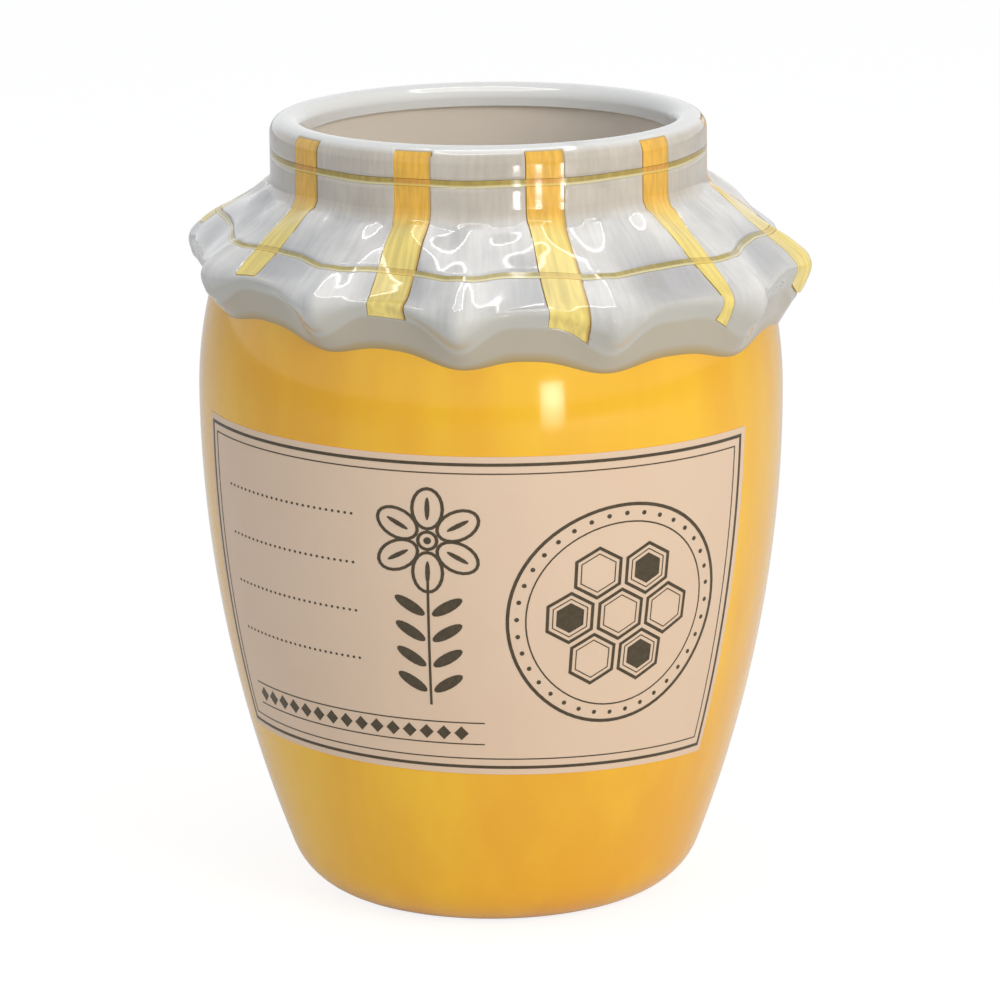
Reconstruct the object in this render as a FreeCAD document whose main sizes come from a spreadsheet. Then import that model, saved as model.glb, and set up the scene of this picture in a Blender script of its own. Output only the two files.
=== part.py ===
import FreeCAD, Part

import math
import os

import Sketcher

# An open jar in glazed earthenware, shaped as a honey pot with a gathered check cloth over its
# neck. It stands on its foot at z = 0, with its axis on Z and its label facing -Y.
# Lengths are in millimetres. Angles are in degrees, counted round the jar from the front (-Y)
# towards +X.

SIZES = {
    # the cast body, outside, each height counted up from the one before
    "belly_radius": 70.5,
    "belly_height": 124.0,
    "flank_round": 315.0,
    "foot_round": 18.0,
    "upper_round": 100.0,
    "shoulder_rise": 33.4,
    "slope_rise": 13.1,
    "neck_radius": 49.4,
    "neck_length": 14.1,
    # the cast body, inside
    "wall": 5.5,
    "neck_wall": 3.2,
    "floor_thickness": 7.0,
    "floor_corner": 9.0,
    "slope_thickness": 5.0,
    # the lip and the neck band of the cloth
    "lip_rise": 5.4,
    "lip_overhang": 4.9,
    "collar_thickness": 3.0,
    "lip_outer_round": 3.6,
    "lip_inner_round": 3.4,
    # the frill: the crease at the neck, its crest, its hem, and its edge on the body
    "crease_rise": 4.1,
    "crest_fall": 16.4,
    "crest_overhang": 3.9,
    "crest_roll": 3.0,
    "hem_fall": 7.1,
    "hem_tuck": 3.4,
    "edge_fall": 5.7,
    # its folds
    "fold_count": 12,
    "fold_first_angle": -7.0,
    "fold_sway": 2.8,
    "fold_flutter": 1.5,
    "fold_sharpness": 1.35,
    "crest_swing": 2.5,
    "hem_swing": 0.5,
    "crest_drop": 1.7,
    "hem_drop": 3.4,
    "edge_drop": 1.4,
    # how far it hangs lower on one side than on the other, and stands out there
    "lean_angle": 70.0,
    "crest_lean": 2.5,
    "hem_lean": 4.2,
    "edge_lean": 5.0,
    "frill_shift": 2.0,
    # the inlaid check
    "band_count": 10,
    "band_first_angle": -55.4,
    "band_wander": 6.0,
    "band_width": 9.0,
    "band_depth": 0.8,
    "band_clearance": 0.2,
    "line_width": 1.5,
    "line_depth": 0.5,
    "neck_line_drop": 3.8,
    "frill_line_share": 0.6,
    "outline_groove": 0.35,
    "glaze_gap": 0.05,
    # the room between the cloth and the body, and the height of the tapers that it is cut in
    "cloth_gap": 0.15,
    "core_step": 8.2,
    # the decal
    "label_thickness": 0.3,
    "label_drop": 81.0,
    "label_height": 79.0,
    "label_left_angle": -71.0,
    "label_right_angle": 57.5,
    "label_tilt": 0.9,
}
FLANK_LINE = "belly_radius - flank_round + sqrt(flank_round ^ 2 - (belly_height - {height}) ^ 2)"
UPPER_LINE = "belly_radius - upper_round + sqrt(upper_round ^ 2 - (belly_height - {height}) ^ 2)"
WORKED_OUT = {
    # heights from the foot, and radii that follow the body's
    "shoulder_height": "=belly_height + shoulder_rise",
    "shoulder_top": "=shoulder_height + slope_rise",
    "neck_height": "=shoulder_top + neck_length",
    "inner_neck_root": "=shoulder_top - slope_thickness",
    "jar_height": "=neck_height + lip_rise",
    "mouth_radius": "=neck_radius - lip_overhang",
    "collar_radius": "=neck_radius + collar_thickness",
    "crease_height": "=shoulder_top + crease_rise",
    "crest_radius": "=belly_radius + crest_overhang",
    "crest_height": "=crease_height - crest_fall",
    "hem_radius": "=crest_radius - hem_tuck",
    "hem_height": "=crest_height - hem_fall",
    "edge_height": "=hem_height - edge_fall",
    "band_top": "=jar_height - lip_outer_round - band_clearance",
    "neck_line_height": "=band_top - neck_line_drop",
    "label_bottom": "=belly_height - label_drop",
    # heights where the tapers of the cavity meet, and the body's outside radius there
    "low_height": "=floor_thickness + floor_corner",
    "low_radius": "=" + FLANK_LINE.format(height="low_height"),
    "middle_height": "=(low_height + belly_height) / 2",
    "middle_radius": "=" + FLANK_LINE.format(height="middle_height"),
    "upper_height": "=belly_height + 0.28 * upper_round",
    "upper_radius": "=" + UPPER_LINE.format(height="upper_height"),
    "shoulder_radius": "=" + UPPER_LINE.format(height="shoulder_height"),
}
CORE_TAPERS = 3
for number in range(CORE_TAPERS + 1):
    WORKED_OUT[f"core_height_{number}"] = f"=edge_height + ({number} - 2) * core_step"
    WORKED_OUT[f"core_radius_{number}"] = "=" + UPPER_LINE.format(height=f"core_height_{number}")
POLES_PER_FOLD = 8
CUTTER_MARGIN = 10.0

doc = FreeCAD.newDocument("honey_pot_jar")
sheet = doc.addObject("Spreadsheet::Sheet", "sizes")
cells = list(SIZES.items()) + list(WORKED_OUT.items())
for row, (alias, value) in enumerate(cells, start=1):
    sheet.set(f"A{row}", alias)
    sheet.setAlias(f"B{row}", alias)
    sheet.set(f"B{row}", str(value))
doc.recompute()


def size(alias):
    return float(sheet.get(alias))


def vec(x, y, z=0.0):
    return FreeCAD.Vector(x, y, z)


def polar(radius, angle, height):
    """A point of the jar from its radius, its angle from the front and its height."""
    turn = math.radians(angle)
    return vec(radius * math.sin(turn), -radius * math.cos(turn), height)


def facing(angle, offset):
    """A placement that turns a tool's +X to face an angle of the jar."""
    turn = FreeCAD.Rotation(vec(0, 0, 1), angle - 90.0)
    return FreeCAD.Placement(turn.multVec(offset), turn)


# ---------------------------------------------------------------- sketches


def new_sketch(body, name):
    plane = next(f for f in body.Origin.OriginFeatures if f.Role == "XZ_Plane")
    sketch = body.newObject("Sketcher::SketchObject", name)
    sketch.AttachmentSupport = (plane, [""])
    sketch.MapMode = "FlatFace"
    return sketch


def constrain(sketch, kind, *places):
    return sketch.addConstraint(Sketcher.Constraint(kind, *places))


def measure(sketch, kind, places, name, start, expression):
    """Add a dimension with a name, and tie it to the sheet."""
    sketch.renameConstraint(constrain(sketch, kind, *places, start), name)
    sketch.setExpression(f"Constraints.{name}", expression)


def arc(centre, radius, start, end):
    circle = Part.Circle(vec(*centre), vec(0, 0, 1), radius)
    return Part.ArcOfCircle(circle, start, end)


def line(start, end):
    return Part.LineSegment(vec(*start), vec(*end))


def chain(sketch, lines):
    """Join the lines of a closed outline end to start."""
    for here, after in zip(lines, lines[1:] + lines[:1]):
        constrain(sketch, "Coincident", here, 2, after, 1)


def evaluate(expression):
    """The value of a cell expression."""
    return float(sheet.evalExpression(expression))


def turned_outline(sketch, corners):
    """A closed outline of straight lines for a turned shape. Each corner is a radius and a height,
    both cell expressions, or "0" on the axis or the base."""
    points = [(evaluate(radius), evaluate(height)) for radius, height in corners]
    lines = sketch.addGeometry(
        [line(a, b) for a, b in zip(points, points[1:] + points[:1])], False)
    chain(sketch, lines)
    for number, (side, point, corner) in enumerate(zip(lines, points, corners)):
        for kind, name, start, expression, axis in zip(
                ("DistanceX", "DistanceY"), ("radius", "height"), point, corner, (-2, -1)):
            if expression == "0":
                constrain(sketch, "PointOnObject", side, 1, axis)
            else:
                places = (-1, 1, side, 1)
                measure(sketch, kind, places, f"{name}_{number}", start, expression)
    return lines


def turn(body, kind, name, sketch, angle=360.0):
    """Revolve or groove a sketch round the jar's axis, and check that it changed the body."""
    before = body.Shape.Volume if body.Tip else 0.0
    made = body.newObject(kind, name)
    made.Profile = sketch
    made.ReferenceAxis = (sketch, ["V_Axis"])
    made.Angle = angle
    made.Midplane = angle < 360.0
    body.Tip = made
    doc.recompute()
    if abs(body.Shape.Volume - before) < 1.0:
        raise ValueError(f"{name} changed nothing")
    return made


# ---------------------------------------------------------------- the cast body


def jar_outline(sketch):
    """Half of the jar's outside: the base, the foot corner, the flank, the upper belly, the
    shoulder's taper and the neck."""
    belly_r, belly_z = size("belly_radius"), size("belly_height")
    foot_r, flank_r, upper_r = size("foot_round"), size("flank_round"), size("upper_round")
    neck_r, neck_z = size("neck_radius"), size("neck_height")
    shoulder = (size("shoulder_radius"), size("shoulder_height"))

    # centres of the arcs, each found from the one that it touches
    flank_c = (belly_r - flank_r, belly_z)
    upper_c = (belly_r - upper_r, belly_z)
    foot_x = flank_c[0] + math.sqrt((flank_r - foot_r) ** 2 - (belly_z - foot_r) ** 2)
    foot_turn = math.atan2(foot_r - belly_z, foot_x - flank_c[0])
    shoulder_turn = math.atan2(shoulder[1] - upper_c[1], shoulder[0] - upper_c[0])

    base, foot, flank, upper, cone, neck, lid, axis = sketch.addGeometry([
        line((0, 0), (foot_x, 0)),
        arc((foot_x, foot_r), foot_r, -math.pi / 2, foot_turn),
        arc(flank_c, flank_r, foot_turn, 0),
        arc(upper_c, upper_r, 0, shoulder_turn),
        line(shoulder, (neck_r, size("shoulder_top"))),
        line((neck_r, size("shoulder_top")), (neck_r, neck_z)),
        line((neck_r, neck_z), (0, neck_z)),
        line((0, neck_z), (0, 0)),
    ], False)
    for joined in [(base, 2, foot, 1), (foot, 2, flank, 1), (flank, 2, upper, 1)]:
        constrain(sketch, "Tangent", *joined)
    for joined in [(upper, 2, cone, 1), (cone, 2, neck, 1), (neck, 2, lid, 1), (lid, 2, axis, 1),
                   (axis, 2, base, 1)]:
        constrain(sketch, "Coincident", *joined)
    constrain(sketch, "Horizontal", base)
    constrain(sketch, "Horizontal", lid)
    constrain(sketch, "Vertical", neck)
    constrain(sketch, "Coincident", base, 1, -1, 1)
    constrain(sketch, "PointOnObject", axis, 1, -2)
    constrain(sketch, "Horizontal", flank, 2, upper, 3)
    measure(sketch, "Radius", (foot,), "foot", foot_r, "sizes.foot_round")
    measure(sketch, "Radius", (flank,), "flank", flank_r, "sizes.flank_round")
    measure(sketch, "Radius", (upper,), "upper", upper_r, "sizes.upper_round")
    measure(sketch, "DistanceX", (-1, 1, flank, 2), "belly_out", belly_r, "sizes.belly_radius")
    measure(sketch, "DistanceY", (-1, 1, flank, 2), "belly_up", belly_z, "sizes.belly_height")
    measure(sketch, "DistanceY", (-1, 1, cone, 1), "shoulder_up", shoulder[1], "sizes.shoulder_height")
    measure(sketch, "DistanceX", (-1, 1, neck, 1), "neck_out", neck_r, "sizes.neck_radius")
    measure(sketch, "DistanceY", (-1, 1, neck, 1), "neck_up", size("shoulder_top"), "sizes.shoulder_top")
    measure(sketch, "DistanceY", (-1, 1, lid, 1), "top", neck_z, "sizes.neck_height")


def make_jar_body():
    """The jar under the cloth, cast solid and hollowed in tapers."""
    body = doc.addObject("PartDesign::Body", "jar_body")
    outside = new_sketch(body, "jar_outside")
    jar_outline(outside)
    turn(body, "PartDesign::Revolution", "jar_cast", outside)
    cavity = new_sketch(body, "jar_cavity")
    neck = "sizes.neck_radius - sizes.neck_wall"
    turned_outline(cavity, [
        ("0", "sizes.floor_thickness"),
        ("sizes.low_radius - sizes.wall - sizes.floor_corner", "sizes.floor_thickness"),
        ("sizes.low_radius - sizes.wall", "sizes.low_height"),
        ("sizes.middle_radius - sizes.wall", "sizes.middle_height"),
        ("sizes.belly_radius - sizes.wall", "sizes.belly_height"),
        ("sizes.upper_radius - sizes.wall", "sizes.upper_height"),
        (neck, "sizes.inner_neck_root"),
        (neck, "sizes.neck_height"),
        ("0", "sizes.neck_height"),
    ])
    turn(body, "PartDesign::Groove", "jar_hollow", cavity)
    return body


def make_jar_core():
    """The space that the cloth leaves for the jar. Straight tapers clear the upper belly."""
    body = doc.addObject("PartDesign::Body", "jar_core")
    section = new_sketch(body, "core_section")
    belly = [(f"sizes.core_radius_{number} + sizes.cloth_gap", f"sizes.core_height_{number}")
             for number in range(CORE_TAPERS + 1)]
    neck = "sizes.neck_radius + sizes.cloth_gap"
    turned_outline(section, [("0", "sizes.core_height_0")] + belly + [
        ("sizes.shoulder_radius + sizes.cloth_gap", "sizes.shoulder_height + sizes.cloth_gap"),
        (neck, "sizes.shoulder_top + sizes.cloth_gap"),
        (neck, "sizes.neck_height + sizes.glaze_gap"),
        ("0", "sizes.neck_height + sizes.glaze_gap"),
    ])
    turn(body, "PartDesign::Revolution", "core_turned", section)
    return body


# ---------------------------------------------------------------- booleans


def combine(kind, name, **links):
    made = doc.addObject(kind, name)
    for link, value in links.items():
        setattr(made, link, value)
    return made


def fused(name, *pieces):
    return combine("Part::MultiFuse", name, Shapes=list(pieces))


def common(name, *pieces):
    return combine("Part::MultiCommon", name, Shapes=list(pieces))


def cut(name, base, tool):
    return combine("Part::Cut", name, Base=base, Tool=tool)


# ---------------------------------------------------------------- the gathered cloth


def fold(angle):
    """The wave of the gathers: 1 on a ridge and -1 in a valley. Hand-laid folds sway to and fro,
    and their ridges are narrower than their valleys."""
    turned = math.radians(angle)
    sway = size("fold_sway") * math.cos(turned - 0.6)
    sway += size("fold_flutter") * (math.cos(2 * turned + 2.4) + math.cos(3 * turned + 2.1))
    phase = size("fold_count") * math.radians(angle - size("fold_first_angle") - sway)
    return 2 * ((1 + math.cos(phase)) / 2) ** size("fold_sharpness") - 1


def lean(angle):
    """How much lower the cloth hangs at an angle: 1 where it is lowest and -1 opposite."""
    return math.cos(math.radians(angle - size("lean_angle")))


def crest_height(angle):
    drop = size("crest_drop") * fold(angle) + size("crest_lean") * lean(angle)
    return size("crest_height") - drop


def hem_height(angle):
    drop = size("hem_drop") * fold(angle) + size("hem_lean") * lean(angle)
    return size("hem_height") - drop


def edge_height(angle):
    drop = size("edge_drop") * fold(angle) + size("edge_lean") * lean(angle)
    return size("edge_height") - drop


def body_radius(height):
    """The outside radius of the upper belly at a height."""
    upper = size("upper_round")
    return size("belly_radius") - upper + math.sqrt(upper ** 2 - (height - size("belly_height")) ** 2)


def beside(start, end, along, out):
    """A point from how far it is along a line and how far out from it. Lines run downwards."""
    length = math.dist(start, end)
    run = ((end[0] - start[0]) / length, (end[1] - start[1]) / length)
    return (start[0] + along * run[0] - out * run[1], start[1] + along * run[1] + out * run[0])


def cloth_line(angle):
    """The cloth's outer line at one angle, as radius and height: down the neck band, down the
    flare, over the rolled crest and down the face to the hem."""
    ridge = fold(angle)
    shift = size("frill_shift") * math.sin(math.radians(angle))
    crease = (size("collar_radius"), size("crease_height"))
    crest = (size("crest_radius") + size("crest_swing") * ridge + shift, crest_height(angle))
    hem = (size("hem_radius") + size("hem_swing") * ridge + shift, hem_height(angle))
    roll = size("crest_roll")
    return [
        (size("collar_radius"), size("band_top")),
        crease,
        beside(crest, crease, roll, 0),
        beside(crest, hem, roll / 2, 0),
        hem,
    ]


def moved_out(section, distance):
    """A section's corners moved out square to its lines."""
    normals = []
    for here, after in zip(section, section[1:]):
        normals.append([a - b for a, b in zip(beside(here, after, 0, 1), here)])
    moved = []
    for point, one, other in zip(section, normals[:1] + normals, normals + normals[-1:]):
        reach = distance / (1 + one[0] * other[0] + one[1] * other[1])
        moved.append((point[0] + reach * (one[0] + other[0]), point[1] + reach * (one[1] + other[1])))
    return moved


def stripe_groove(start, end, centre, surface, floor, extra):
    """The corners of a narrow stripe's groove across a line of the cloth."""
    half = size("line_width") / 2 + extra
    places = [(centre - half, surface), (centre - half, floor), (centre + half, floor),
              (centre + half, surface)]
    return [beside(start, end, along, out) for along, out in places]


def flare_groove(section, surface, floor, extra):
    crease, crest = section[1:3]
    centre = size("frill_line_share") * math.dist(crease, crest)
    return stripe_groove(crease, crest, centre, surface, floor, extra)


def neck_groove(section, surface, floor, extra):
    top, crease = section[:2]
    centre = top[1] - size("neck_line_height")
    return stripe_groove(top, crease, centre, surface, floor, extra)


def frill_section(angle):
    """The frill's outer line, from inside the neck band to inside the body's surface."""
    line = cloth_line(angle)
    crease, crest, hem = line[1], line[2], line[4]
    edge_z = edge_height(angle)
    edge = (body_radius(edge_z), edge_z)
    inside = size("collar_radius") - size("neck_radius") + size("crest_roll")
    groove = flare_groove(line, 0, -size("line_depth"), size("glaze_gap"))
    sunk = beside(edge, hem, -size("wall"), 0)
    return [beside(crease, crest, -inside, 0)] + groove + line[2:] + [sunk]


def hem_cut(line, short):
    """A cloth line that stops short of the hem."""
    return line[:-1] + [beside(line[-1], line[-2], short, 0)]


def recess_section(angle):
    """The room for a wide stripe, all round."""
    line = hem_cut(cloth_line(angle), size("glaze_gap"))
    return moved_out(line, 1.0) + moved_out(line, -size("band_depth"))[::-1]


def band_section(angle):
    """A wide stripe, all round: sunk in the cloth by the glaze, with both narrow grooves across."""
    line = hem_cut(cloth_line(angle), size("glaze_gap") + size("outline_groove"))
    sunk, floor, gap = -size("glaze_gap"), -size("line_depth"), size("glaze_gap")
    top, crease, *rest = moved_out(line, sunk)
    outer = [top] + neck_groove(line, sunk, floor, gap) + [crease] + flare_groove(line, sunk, floor, gap)
    inner = moved_out(line, gap - size("band_depth"))
    return outer + rest + inner[::-1]


def flare_line_section(angle):
    """The narrow stripe on the flare, sunk in its groove by the glaze."""
    gap = size("glaze_gap")
    return flare_groove(cloth_line(angle), -gap, gap - size("line_depth"), 0)[::-1]


# ---------------------------------------------------------------- solids of ruled strips


def ring_angles():
    count = int(size("fold_count")) * POLES_PER_FOLD
    return [360.0 * number / count for number in range(count)]


def rings_of(section_at):
    """The poles of a closed curve round the jar for each corner of a section. The poles stand
    outside the curve, so that it passes through the corners."""
    angles = ring_angles()
    outward = 3 / (2 + math.cos(math.radians(angles[1])))
    corners = zip(*[section_at(angle) for angle in angles])
    return [[polar(radius * outward, angle, height) for angle, (radius, height) in zip(angles, corner)]
            for corner in corners]


def stretches(poles):
    """The first and last knot of the curve over each fold."""
    return [(start, start + POLES_PER_FOLD) for start in range(0, len(poles), POLES_PER_FOLD)]


def strip(upper, lower):
    """The ruled faces between two closed curves, one for each fold."""
    faces = []
    for start, end in stretches(upper):
        surface = Part.BSplineSurface()
        surface.buildFromPolesMultsKnots(
            list(zip(upper, lower)), [1] * (len(upper) + 1), [2, 2],
            list(range(len(upper) + 1)), [0, 1], True, False, 3, 1)
        surface.segment(start, end, 0, 1)
        faces.append(surface.toShape())
    return faces


def cap(poles):
    """A flat face inside a closed curve."""
    edges = []
    for start, end in stretches(poles):
        curve = Part.BSplineCurve()
        curve.buildFromPolesMultsKnots(poles, [1] * (len(poles) + 1), list(range(len(poles) + 1)), True, 3)
        curve.segment(start, end)
        edges.append(curve.toShape())
    return Part.Face(Part.Wire(edges))


def closed_solid(name, faces):
    shell = Part.makeShell(faces)
    shell.sewShape()
    solid = Part.makeSolid(shell)
    if solid.Volume < 0:
        solid = Part.makeSolid(shell.reversed())
    made = doc.addObject("Part::Feature", name)
    made.Shape = solid
    return made


def ring_solid(name, section_at):
    """A closed ring round the jar with a section that changes with the angle."""
    rings = rings_of(section_at)
    strips = [strip(a, b) for a, b in zip(rings, rings[1:] + rings[:1])]
    return closed_solid(name, sum(strips, []))


def make_frill():
    """The frill filled in to the axis. Its flat ends lie inside the neck band and the body."""
    sections = [frill_section(angle) for angle in ring_angles()]
    top = max(section[0][1] for section in sections) + size("glaze_gap")
    bottom = min(section[-1][1] for section in sections) - size("wall")
    inner = size("neck_radius") - size("wall")
    rings = rings_of(lambda angle: [(inner, top)] + frill_section(angle) + [(inner, bottom)])
    strips = [strip(upper, lower) for upper, lower in zip(rings, rings[1:])]
    return closed_solid("frill", [cap(rings[0])] + sum(strips, []) + [cap(rings[-1])])


def make_collar():
    """The neck band and the rounded lip of the cloth, round the mouth."""
    body = doc.addObject("PartDesign::Body", "collar")
    section = new_sketch(body, "collar_section")
    half = "(sizes.line_width / 2 + sizes.glaze_gap)"
    grooved = "sizes.collar_radius - sizes.line_depth"
    turned_outline(section, [
        ("0", "sizes.hem_height"),
        ("sizes.collar_radius", "sizes.hem_height"),
        ("sizes.collar_radius", f"sizes.neck_line_height - {half}"),
        (grooved, f"sizes.neck_line_height - {half}"),
        (grooved, f"sizes.neck_line_height + {half}"),
        ("sizes.collar_radius", f"sizes.neck_line_height + {half}"),
        ("sizes.collar_radius", "sizes.jar_height"),
        ("sizes.mouth_radius", "sizes.jar_height"),
        ("sizes.mouth_radius", "sizes.neck_height - sizes.neck_wall"),
        ("0", "sizes.neck_height - sizes.neck_wall"),
    ])
    turn(body, "PartDesign::Revolution", "collar_turned", section)
    for name, radius, rounding in [("outer", "collar_radius", "lip_outer_round"),
                                   ("inner", "mouth_radius", "lip_inner_round")]:
        base = body.Tip
        lip = [f"Edge{number}" for number, side in enumerate(base.Shape.Edges, start=1)
               if side.Closed and abs(side.BoundBox.ZMin - size("jar_height")) < 1e-6
               and abs(side.Curve.Radius - size(radius)) < 1e-6]
        made = body.newObject("PartDesign::Fillet", f"lip_{name}_round")
        made.Base = (base, lip)
        made.setExpression("Radius", f"sizes.{rounding}")
        body.Tip = made
        doc.recompute()
    return body


# ---------------------------------------------------------------- the check


def band_angle(number):
    """The wide stripes are laid out by eye, so their spacing wanders a little."""
    step = 360.0 * number / size("band_count")
    wander = size("band_wander") * (1 - math.cos(math.radians(step))) / 2
    return size("band_first_angle") + step - wander


def band_slot(name, angle, extra):
    """A straight slot through the cloth, as wide as a stripe and extra on each side."""
    slot = doc.addObject("Part::Box", name)
    slot.setExpression("Length", f"sizes.crest_radius + {CUTTER_MARGIN} - sizes.mouth_radius")
    slot.setExpression("Width", f"sizes.band_width + 2 * {extra}")
    slot.setExpression("Height", "sizes.jar_height")
    half_width = evaluate(f"sizes.band_width / 2 + {extra}")
    slot.Placement = facing(angle, vec(size("mouth_radius"), -half_width))
    return slot


def make_cloth():
    """The cloth cover, with recesses for the stripes, and the wide stripes."""
    angles = [band_angle(number) for number in range(int(size("band_count")))]
    filled = fused("cloth_filled", make_frill(), make_collar())
    fitted = cut("cloth_fitted", filled, make_jar_core())
    slots = combine("Part::Compound", "recess_slots", Links=[
        band_slot(f"recess_slot_{number:02d}", angle, "sizes.outline_groove")
        for number, angle in enumerate(angles, start=1)])
    recesses = common("recesses", ring_solid("recess_ring", recess_section), slots)
    cloth = cut("cloth_cover", fitted, recesses)
    band_ring = ring_solid("band_ring", band_section)
    bands = [common(f"check_band_{number:02d}", band_ring, band_slot(f"band_slot_{number:02d}", angle, "0"))
             for number, angle in enumerate(angles, start=1)]
    return [cloth] + bands


def make_neck_line():
    """The narrow stripe round the neck band."""
    body = doc.addObject("PartDesign::Body", "check_line_neck")
    section = new_sketch(body, "neck_line_section")
    outer = "sizes.collar_radius - sizes.glaze_gap"
    inner = "sizes.collar_radius - sizes.line_depth + sizes.glaze_gap"
    low = "sizes.neck_line_height - sizes.line_width / 2"
    high = "sizes.neck_line_height + sizes.line_width / 2"
    turned_outline(section, [(inner, low), (outer, low), (outer, high), (inner, high)])
    turn(body, "PartDesign::Revolution", "neck_line_turned", section)
    return body


# ---------------------------------------------------------------- the label


def make_label():
    """The decal's thin film on the flank, cut to a window that leans a little."""
    film = doc.addObject("PartDesign::Body", "label_film")
    section = new_sketch(film, "film_section")
    inner_r = size("flank_round") + size("glaze_gap")
    outer_r = inner_r + size("label_thickness")
    centre = (size("belly_radius") - size("flank_round"), size("belly_height"))
    drop = size("belly_height") - size("label_bottom") + CUTTER_MARGIN
    low_in, low_out = [-math.asin(drop / radius) for radius in (inner_r, outer_r)]

    def on(radius, angle):
        return (centre[0] + radius * math.cos(angle), centre[1] + radius * math.sin(angle))

    inner, top, outer, foot = section.addGeometry([
        arc(centre, inner_r, low_in, 0),
        line(on(inner_r, 0), on(outer_r, 0)),
        arc(centre, outer_r, low_out, 0),
        line(on(inner_r, low_in), on(outer_r, low_out)),
    ], False)
    constrain(section, "Coincident", inner, 2, top, 1)
    constrain(section, "Coincident", outer, 2, top, 2)
    constrain(section, "Coincident", inner, 1, foot, 1)
    constrain(section, "Coincident", outer, 1, foot, 2)
    constrain(section, "Coincident", inner, 3, outer, 3)
    constrain(section, "Horizontal", top)
    constrain(section, "Horizontal", foot)
    constrain(section, "Horizontal", top, 1, inner, 3)
    flank = "sizes.flank_round + sizes.glaze_gap"
    measure(section, "Radius", (inner,), "inner", inner_r, flank)
    measure(section, "Radius", (outer,), "outer", outer_r, f"{flank} + sizes.label_thickness")
    measure(section, "DistanceX", (-1, 1, inner, 2), "out", centre[0] + inner_r,
            "sizes.belly_radius + sizes.glaze_gap")
    measure(section, "DistanceY", (-1, 1, inner, 2), "up", centre[1], "sizes.belly_height")
    measure(section, "DistanceY", (foot, 1, top, 1), "drop", drop,
            f"sizes.belly_height - sizes.label_bottom + {CUTTER_MARGIN}")
    left, right = size("label_left_angle"), size("label_right_angle")
    turn(film, "PartDesign::Revolution", "film_turned", section, right - left)
    film.Placement = facing((left + right) / 2, vec(0, 0))
    window = doc.addObject("Part::Box", "label_window")
    reach = size("belly_radius") + CUTTER_MARGIN
    for side in ("Length", "Width"):
        window.setExpression(side, f"2 * (sizes.belly_radius + {CUTTER_MARGIN})")
    window.setExpression("Height", "sizes.label_height")
    lean_over = FreeCAD.Rotation(vec(0, 1, 0), size("label_tilt"))
    corner = lean_over.multVec(vec(-reach, -reach)) + vec(0, 0, size("label_bottom"))
    window.Placement = FreeCAD.Placement(corner, lean_over)
    return common("label_transfer", film, window)


# ---------------------------------------------------------------- check and export

nodes = [make_jar_body()] + make_cloth()
nodes += [make_neck_line(), ring_solid("check_line_frill", flare_line_section), make_label()]
doc.recompute()
for made in doc.Objects:
    if {"Invalid", "Error"} & set(made.State):
        raise ValueError(f"{made.Name} failed")
for node in nodes:
    if node.Shape.isNull() or not node.Shape.isValid() or len(node.Shape.Solids) != 1:
        raise ValueError(f"{node.Label} is not one sound solid")
os.makedirs("parts", exist_ok=True)
for node in nodes:
    node.Shape.exportStep(f"parts/{node.Label}.step")
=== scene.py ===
import math

import bmesh
import bpy
from mathutils import Matrix, Vector, noise


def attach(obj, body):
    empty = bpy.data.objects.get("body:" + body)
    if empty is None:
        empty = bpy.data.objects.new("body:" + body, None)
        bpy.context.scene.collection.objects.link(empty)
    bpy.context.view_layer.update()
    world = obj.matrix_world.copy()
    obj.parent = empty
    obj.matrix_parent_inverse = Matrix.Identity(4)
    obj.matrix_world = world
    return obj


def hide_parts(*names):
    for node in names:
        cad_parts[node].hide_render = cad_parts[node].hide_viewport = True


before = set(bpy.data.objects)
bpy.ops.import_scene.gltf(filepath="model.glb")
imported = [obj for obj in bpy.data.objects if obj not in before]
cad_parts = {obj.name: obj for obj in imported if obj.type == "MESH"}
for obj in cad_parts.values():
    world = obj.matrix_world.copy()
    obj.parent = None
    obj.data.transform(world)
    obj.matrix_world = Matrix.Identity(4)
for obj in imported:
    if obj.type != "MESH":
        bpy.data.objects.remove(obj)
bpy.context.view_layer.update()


# ---------------------------------------------------------------- the studio
# A white table in an even white room, with a large soft box on the right, a weak cool one on the
# left and a wide one above. The glaze mirrors the one above, its bright edges, and a window that
# lights nothing. Lamps are placed and sized in millimetres, the camera and the table in metres.

MM = 0.001
CAMERA_BACK = 1.53857
CAMERA_UP = 0.46755
CAMERA_PITCH = 13.606
CAMERA_ROLL = -0.65
CAMERA_YAW = -0.0685
CAMERA_LENS = 234.7
SENSOR_WIDTH = 36.0
FAR_CLIP = 20.0
TABLE_SIZE = 6.0
HARD_EDGE = 38.0
ROOM_LIGHT = 0.47
TABLE_SEEN = 0.86
TABLE_MIRRORED = 0.16
BOX_AIM = (0, 0, 110)
ABOVE_PLACE = (60, -160, 1300)
ABOVE_AIM = (0, 0, 150)
ABOVE_WIDTH = 900
ABOVE_DEPTH = 620
EDGE_WIDTH = 60
EDGE_WATTS = 0.00003
WINDOW_PLACE = (134, -343, 122)
WINDOW_AIM = (14, -68, 118)
WINDOW_SPREAD = 19
PANE_WATTS = 0.000007
PANE_SPREAD = 26
PANE_AIM = (-51, 179)
# each column of panes: its place, how far across its lamps aim, its width, and the lower and
# upper edge of each pane
PANES = {
    "left": ((29, -139), 6.5, 6.5, [(160.4, 166.0), (168.8, 176.0)]),
    "centre": ((51, -132), 11.6, 6.5, [(157.0, 161.4), (163.2, 166.0), (168.6, 176.0)]),
    "right": ((74.5, -120), 17.6, 4.5, [(161.6, 165.4), (167.4, 176.0)]),
}


def paint(hex_colour):
    """An sRGB hex value as the linear colour that a shader takes."""
    channels = [int(hex_colour[start:start + 2], 16) / 255 for start in (1, 3, 5)]
    return [c / 12.92 if c <= 0.04045 else ((c + 0.055) / 1.055) ** 2.4 for c in channels] + [1.0]


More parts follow.
